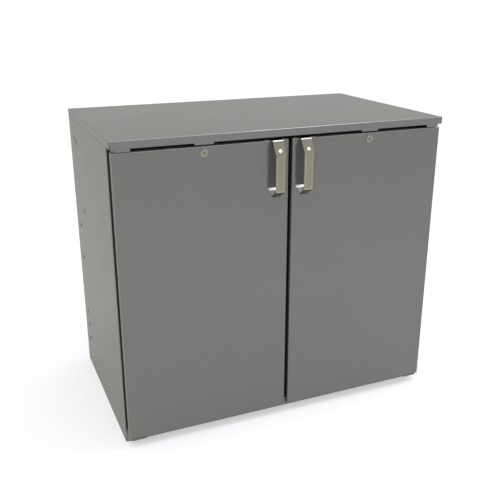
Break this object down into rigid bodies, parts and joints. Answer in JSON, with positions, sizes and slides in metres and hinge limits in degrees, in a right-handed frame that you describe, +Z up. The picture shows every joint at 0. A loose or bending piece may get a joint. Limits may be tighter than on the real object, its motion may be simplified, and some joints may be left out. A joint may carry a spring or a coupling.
{
  "type": "back bar cooler",
  "caption": "Low two-door back bar refrigerator with solid swing doors, strip pull handles, key locks, wire shelves and a ceiling evaporator, for a remote condensing unit.",
  "frame": {"origin": "centre of the overall box, with the handles, on the floor", "axes": "+Z up, doors face -Y, +X to the right as seen from the front"},
  "size_m": [1.01, 0.6366, 0.905],
  "materials": {
    "satin_steel": "brushed stainless sheet",
    "side_steel": "brushed stainless sheet",
    "handle_steel": "satin stainless strip, polished stud",
    "zinc_steel": "galvanised sheet",
    "frame_black": "black powder coat",
    "hinge_steel": "zinc plated plate",
    "pin_steel": "ground pin",
    "black_plastic": "moulded, satin",
    "gasket_rubber": "soft extruded seal",
    "foam": "rigid polyurethane foam",
    "board": "moisture-resistant board",
    "white_liner": "white coated sheet",
    "white_plastic": "moulded",
    "shelf_wire": "epoxy coated wire",
    "aluminium": "mill finish",
    "copper": "drawn copper tube",
    "brass": "machined",
    "motor_black": "black enamel",
    "lock_metal": "satin nickel"
  },
  "bodies": {
    "cabinet": {"countertop_skin": "satin_steel", "countertop_board": "board", "side_panel_left": "side_steel", "side_panel_right": "side_steel", "rear_panel": "zinc_steel", "bottom_panel": "zinc_steel", "front_base_rail": "zinc_steel", "rear_base_rail": "zinc_steel", "front_top_rail": "zinc_steel", "front_sill": "zinc_steel", "centre_mullion": "frame_black", "mullion_nose": "black_plastic", "breaker_frame": "black_plastic", "foam_insulation": "foam", "inner_liner": "white_liner", "top_hinge_plates": "hinge_steel", "bottom_hinge_brackets": "hinge_steel", "hinge_pins": "pin_steel", "lock_strikes": "hinge_steel", "side_hole_plugs": "side_steel", "pilasters": "zinc_steel", "shelf_clips": "zinc_steel", "shelf_lower_left": "shelf_wire", "shelf_lower_right": "shelf_wire", "shelf_upper_left": "shelf_wire", "shelf_upper_right": "shelf_wire", "evaporator_housing": "aluminium", "evaporator_coil": "aluminium", "evaporator_drain_pan": "white_plastic", "evaporator_motors": "motor_black", "fan_guards": "zinc_steel", "drain_tube": "white_plastic", "suction_line": "copper", "liquid_line": "copper", "expansion_valve": "brass", "control_box": "white_plastic", "thermostat_sensor": "brass", "lamp_base": "white_plastic", "lamp_diffuser": "white_plastic", "junction_box": "zinc_steel"},
    "door_left": {"door_skin_left": "satin_steel", "door_foam_left": "foam", "door_panel_left": "black_plastic", "door_gasket_left": "gasket_rubber", "handle_left": "handle_steel", "hinge_bushes_left": "white_plastic", "lock_barrel_left": "lock_metal"},
    "door_right": {"door_skin_right": "satin_steel", "door_foam_right": "foam", "door_panel_right": "black_plastic", "door_gasket_right": "gasket_rubber", "handle_right": "handle_steel", "hinge_bushes_right": "white_plastic", "lock_barrel_right": "lock_metal"},
    "lock_left": {"lock_plug_left": "lock_metal"},
    "lock_right": {"lock_plug_right": "lock_metal"},
    "left_fan": {"fan_left": "black_plastic"},
    "right_fan": {"fan_right": "black_plastic"},
    "knob": {"thermostat_knob": "black_plastic"},
    "rocker": {"light_switch": "black_plastic"}
  },
  "joints": [
    {"name": "left_door_hinge", "type": "hinge", "parent": "cabinet", "child": "door_left", "pos_m": [-0.4908, -0.2642, 0.45], "axis": [0, 0, -1], "range_deg": [0, 110]},
    {"name": "right_door_hinge", "type": "hinge", "parent": "cabinet", "child": "door_right", "pos_m": [0.4908, -0.2642, 0.45], "axis": [0, 0, 1], "range_deg": [0, 110]},
    {"name": "left_lock_turn", "type": "hinge", "parent": "door_left", "child": "lock_left", "pos_m": [-0.254, -0.2883, 0.856], "axis": [0, -1, 0], "range_deg": [0, 90]},
    {"name": "right_lock_turn", "type": "hinge", "parent": "door_right", "child": "lock_right", "pos_m": [0.254, -0.2883, 0.856], "axis": [0, 1, 0], "range_deg": [0, 90]},
    {"name": "left_fan_spin", "type": "hinge", "parent": "cabinet", "child": "left_fan", "pos_m": [-0.115, 0.1421, 0.777], "axis": [0, -1, 0], "continuous": true},
    {"name": "right_fan_spin", "type": "hinge", "parent": "cabinet", "child": "right_fan", "pos_m": [0.115, 0.1421, 0.777], "axis": [0, -1, 0], "continuous": true},
    {"name": "thermostat_turn", "type": "hinge", "parent": "cabinet", "child": "knob", "pos_m": [0.3252, 0.1881, 0.804], "axis": [0, 1, 0], "range_deg": [-135, 135]},
    {"name": "light_switch_rock", "type": "hinge", "parent": "cabinet", "child": "rocker", "pos_m": [0.3758, 0.1941, 0.804], "axis": [1, 0, 0], "range_deg": [-16, 0]}
  ]
}
